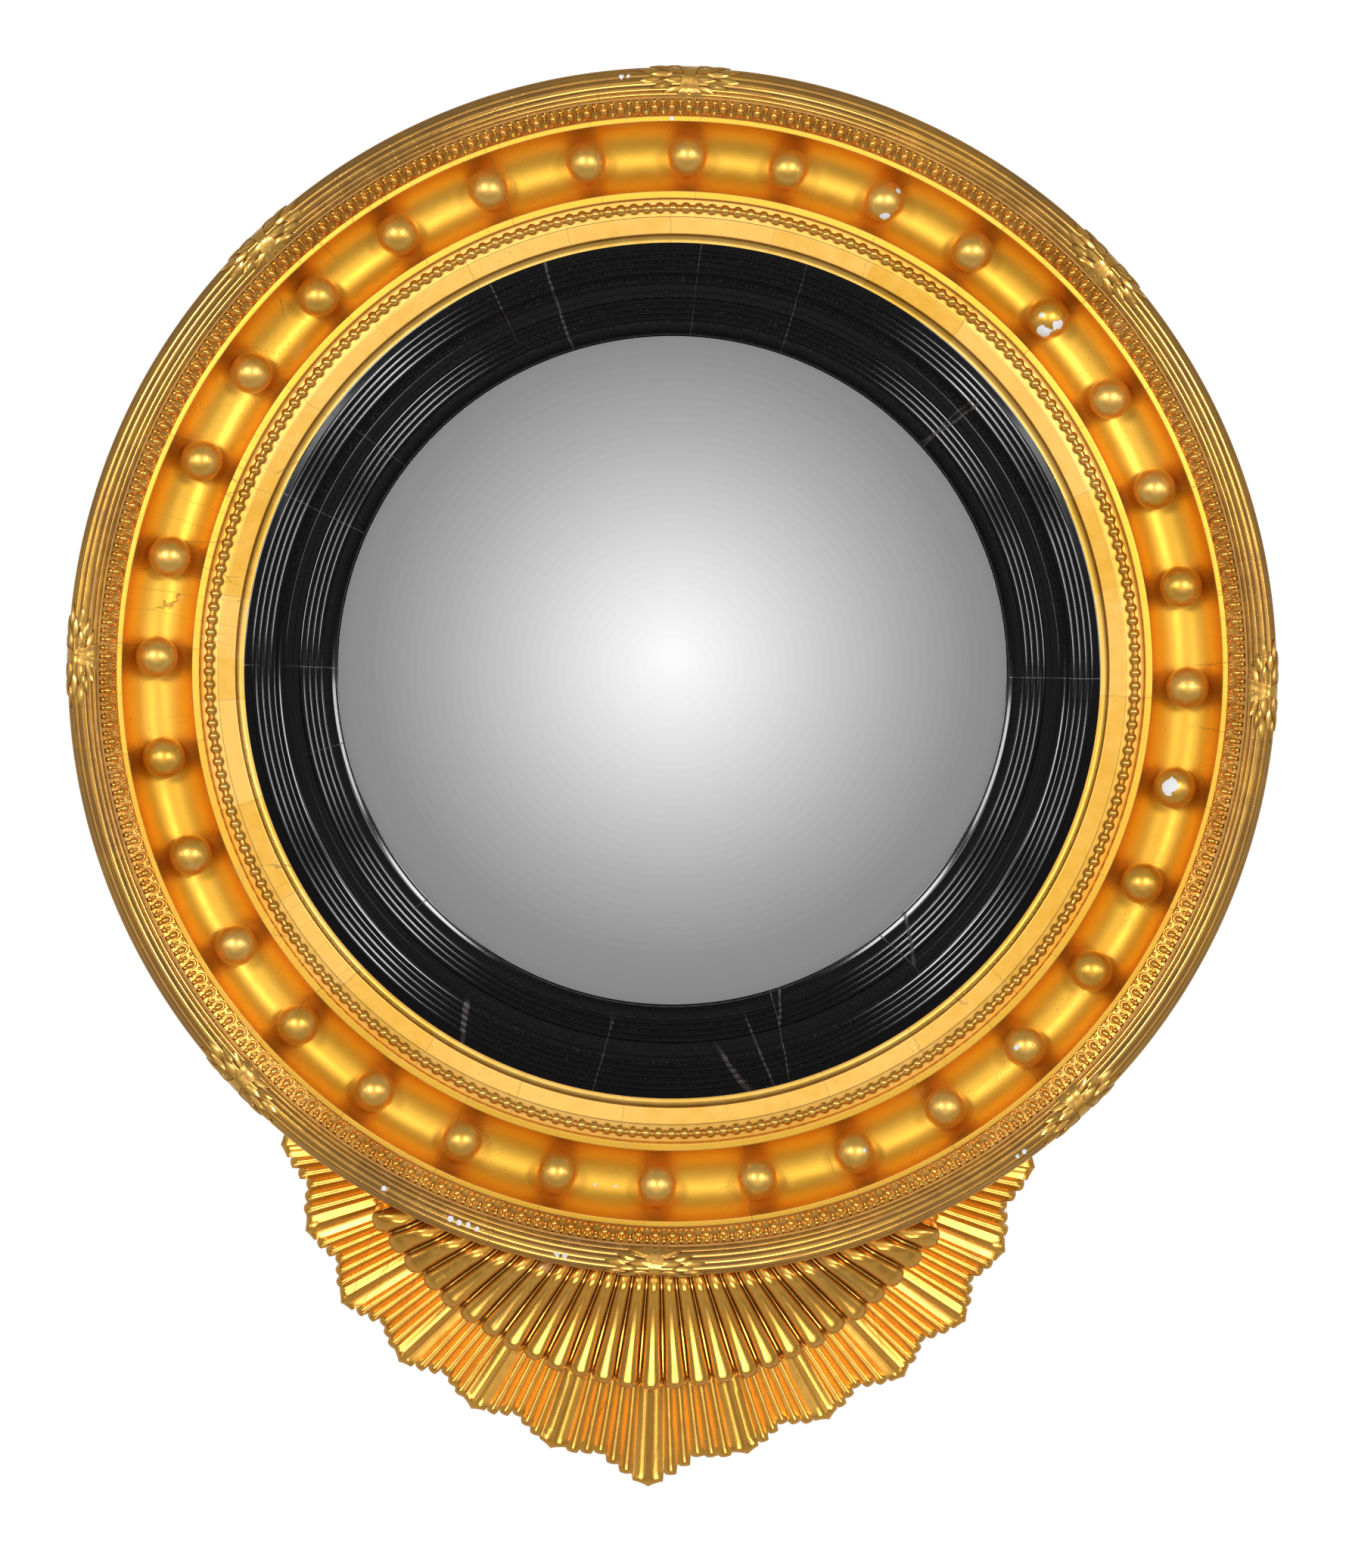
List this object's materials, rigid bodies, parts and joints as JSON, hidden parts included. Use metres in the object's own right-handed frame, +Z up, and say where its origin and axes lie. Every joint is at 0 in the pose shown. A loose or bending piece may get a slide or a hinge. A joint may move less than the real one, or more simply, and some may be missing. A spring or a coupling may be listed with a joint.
{
  "type": "convex butlers mirror",
  "caption": "Round convex wall mirror in a gilded moulded frame with ball-set cove, black reeded slip and a carved fan apron below.",
  "frame": {"origin": "centre of the rings on the wall plane, where the pads' outer faces lie", "axes": "+X to the right seen from the front, +Y into the wall so the mirror faces -Y, +Z up"},
  "size_m": [0.9188, 0.0813, 1.0909],
  "materials": {
    "gilt_rim": "turned wood, burnished gold leaf over bole and gesso",
    "gilt_cove": "turned wood, matt gold leaf over bole and gesso",
    "gilt_band": "turned wood, matt gold leaf over bole and gesso",
    "gilt_balls": "turned wood, matt gold leaf over bole and gesso",
    "gilt_ornament": "moulded composition, burnished gold leaf over bole and gesso",
    "gilt_carving": "carved pine, burnished gold leaf over bole and gesso",
    "ebonised_wood": "ebonised and polished",
    "silvered_glass": "silvered at the back",
    "felt": "wool felt",
    "bare_pine": "bare old pine",
    "beech": "bare turned beech",
    "iron": "dark wrought plate",
    "steel": "dull wood screws",
    "brass": "aged brass"
  },
  "bodies": {
    "frame": {"apron_back_tier": "gilt_carving", "apron_front_tier": "gilt_carving", "apron_plate_screws": "steel", "apron_plates": "iron", "apron_tier_screws": "steel", "back_ring": "bare_pine", "backboard": "bare_pine", "backboard_screws": "brass", "ball_pegs": "beech", "bead_border": "gilt_ornament", "block_screws": "steel", "cove_ring": "gilt_cove", "egg_border": "gilt_ornament", "gilt_balls": "gilt_balls", "glass_blocks": "bare_pine", "glass_felt": "felt", "hanger_plate_left": "brass", "hanger_plate_right": "brass", "hanger_screws": "brass", "inner_slip": "ebonised_wood", "mirror_glass": "silvered_glass", "outer_slip": "ebonised_wood", "reeded_rim": "gilt_rim", "ribbon_ties": "gilt_ornament", "ring_screws": "steel", "sight_ring": "gilt_band", "wall_pads": "felt"},
    "left_hanging_ring": {"hanger_ring_left": "brass"},
    "right_hanging_ring": {"hanger_ring_right": "brass"}
  },
  "joints": [
    {"name": "left_ring_hinge", "type": "hinge", "parent": "frame", "child": "left_hanging_ring", "pos_m": [-0.3339, -0.004, 0.2338], "axis": [1, 0, 0], "range_deg": [0, 180]},
    {"name": "right_ring_hinge", "type": "hinge", "parent": "frame", "child": "right_hanging_ring", "pos_m": [0.3339, -0.004, 0.2338], "axis": [1, 0, 0], "range_deg": [0, 180]}
  ]
}
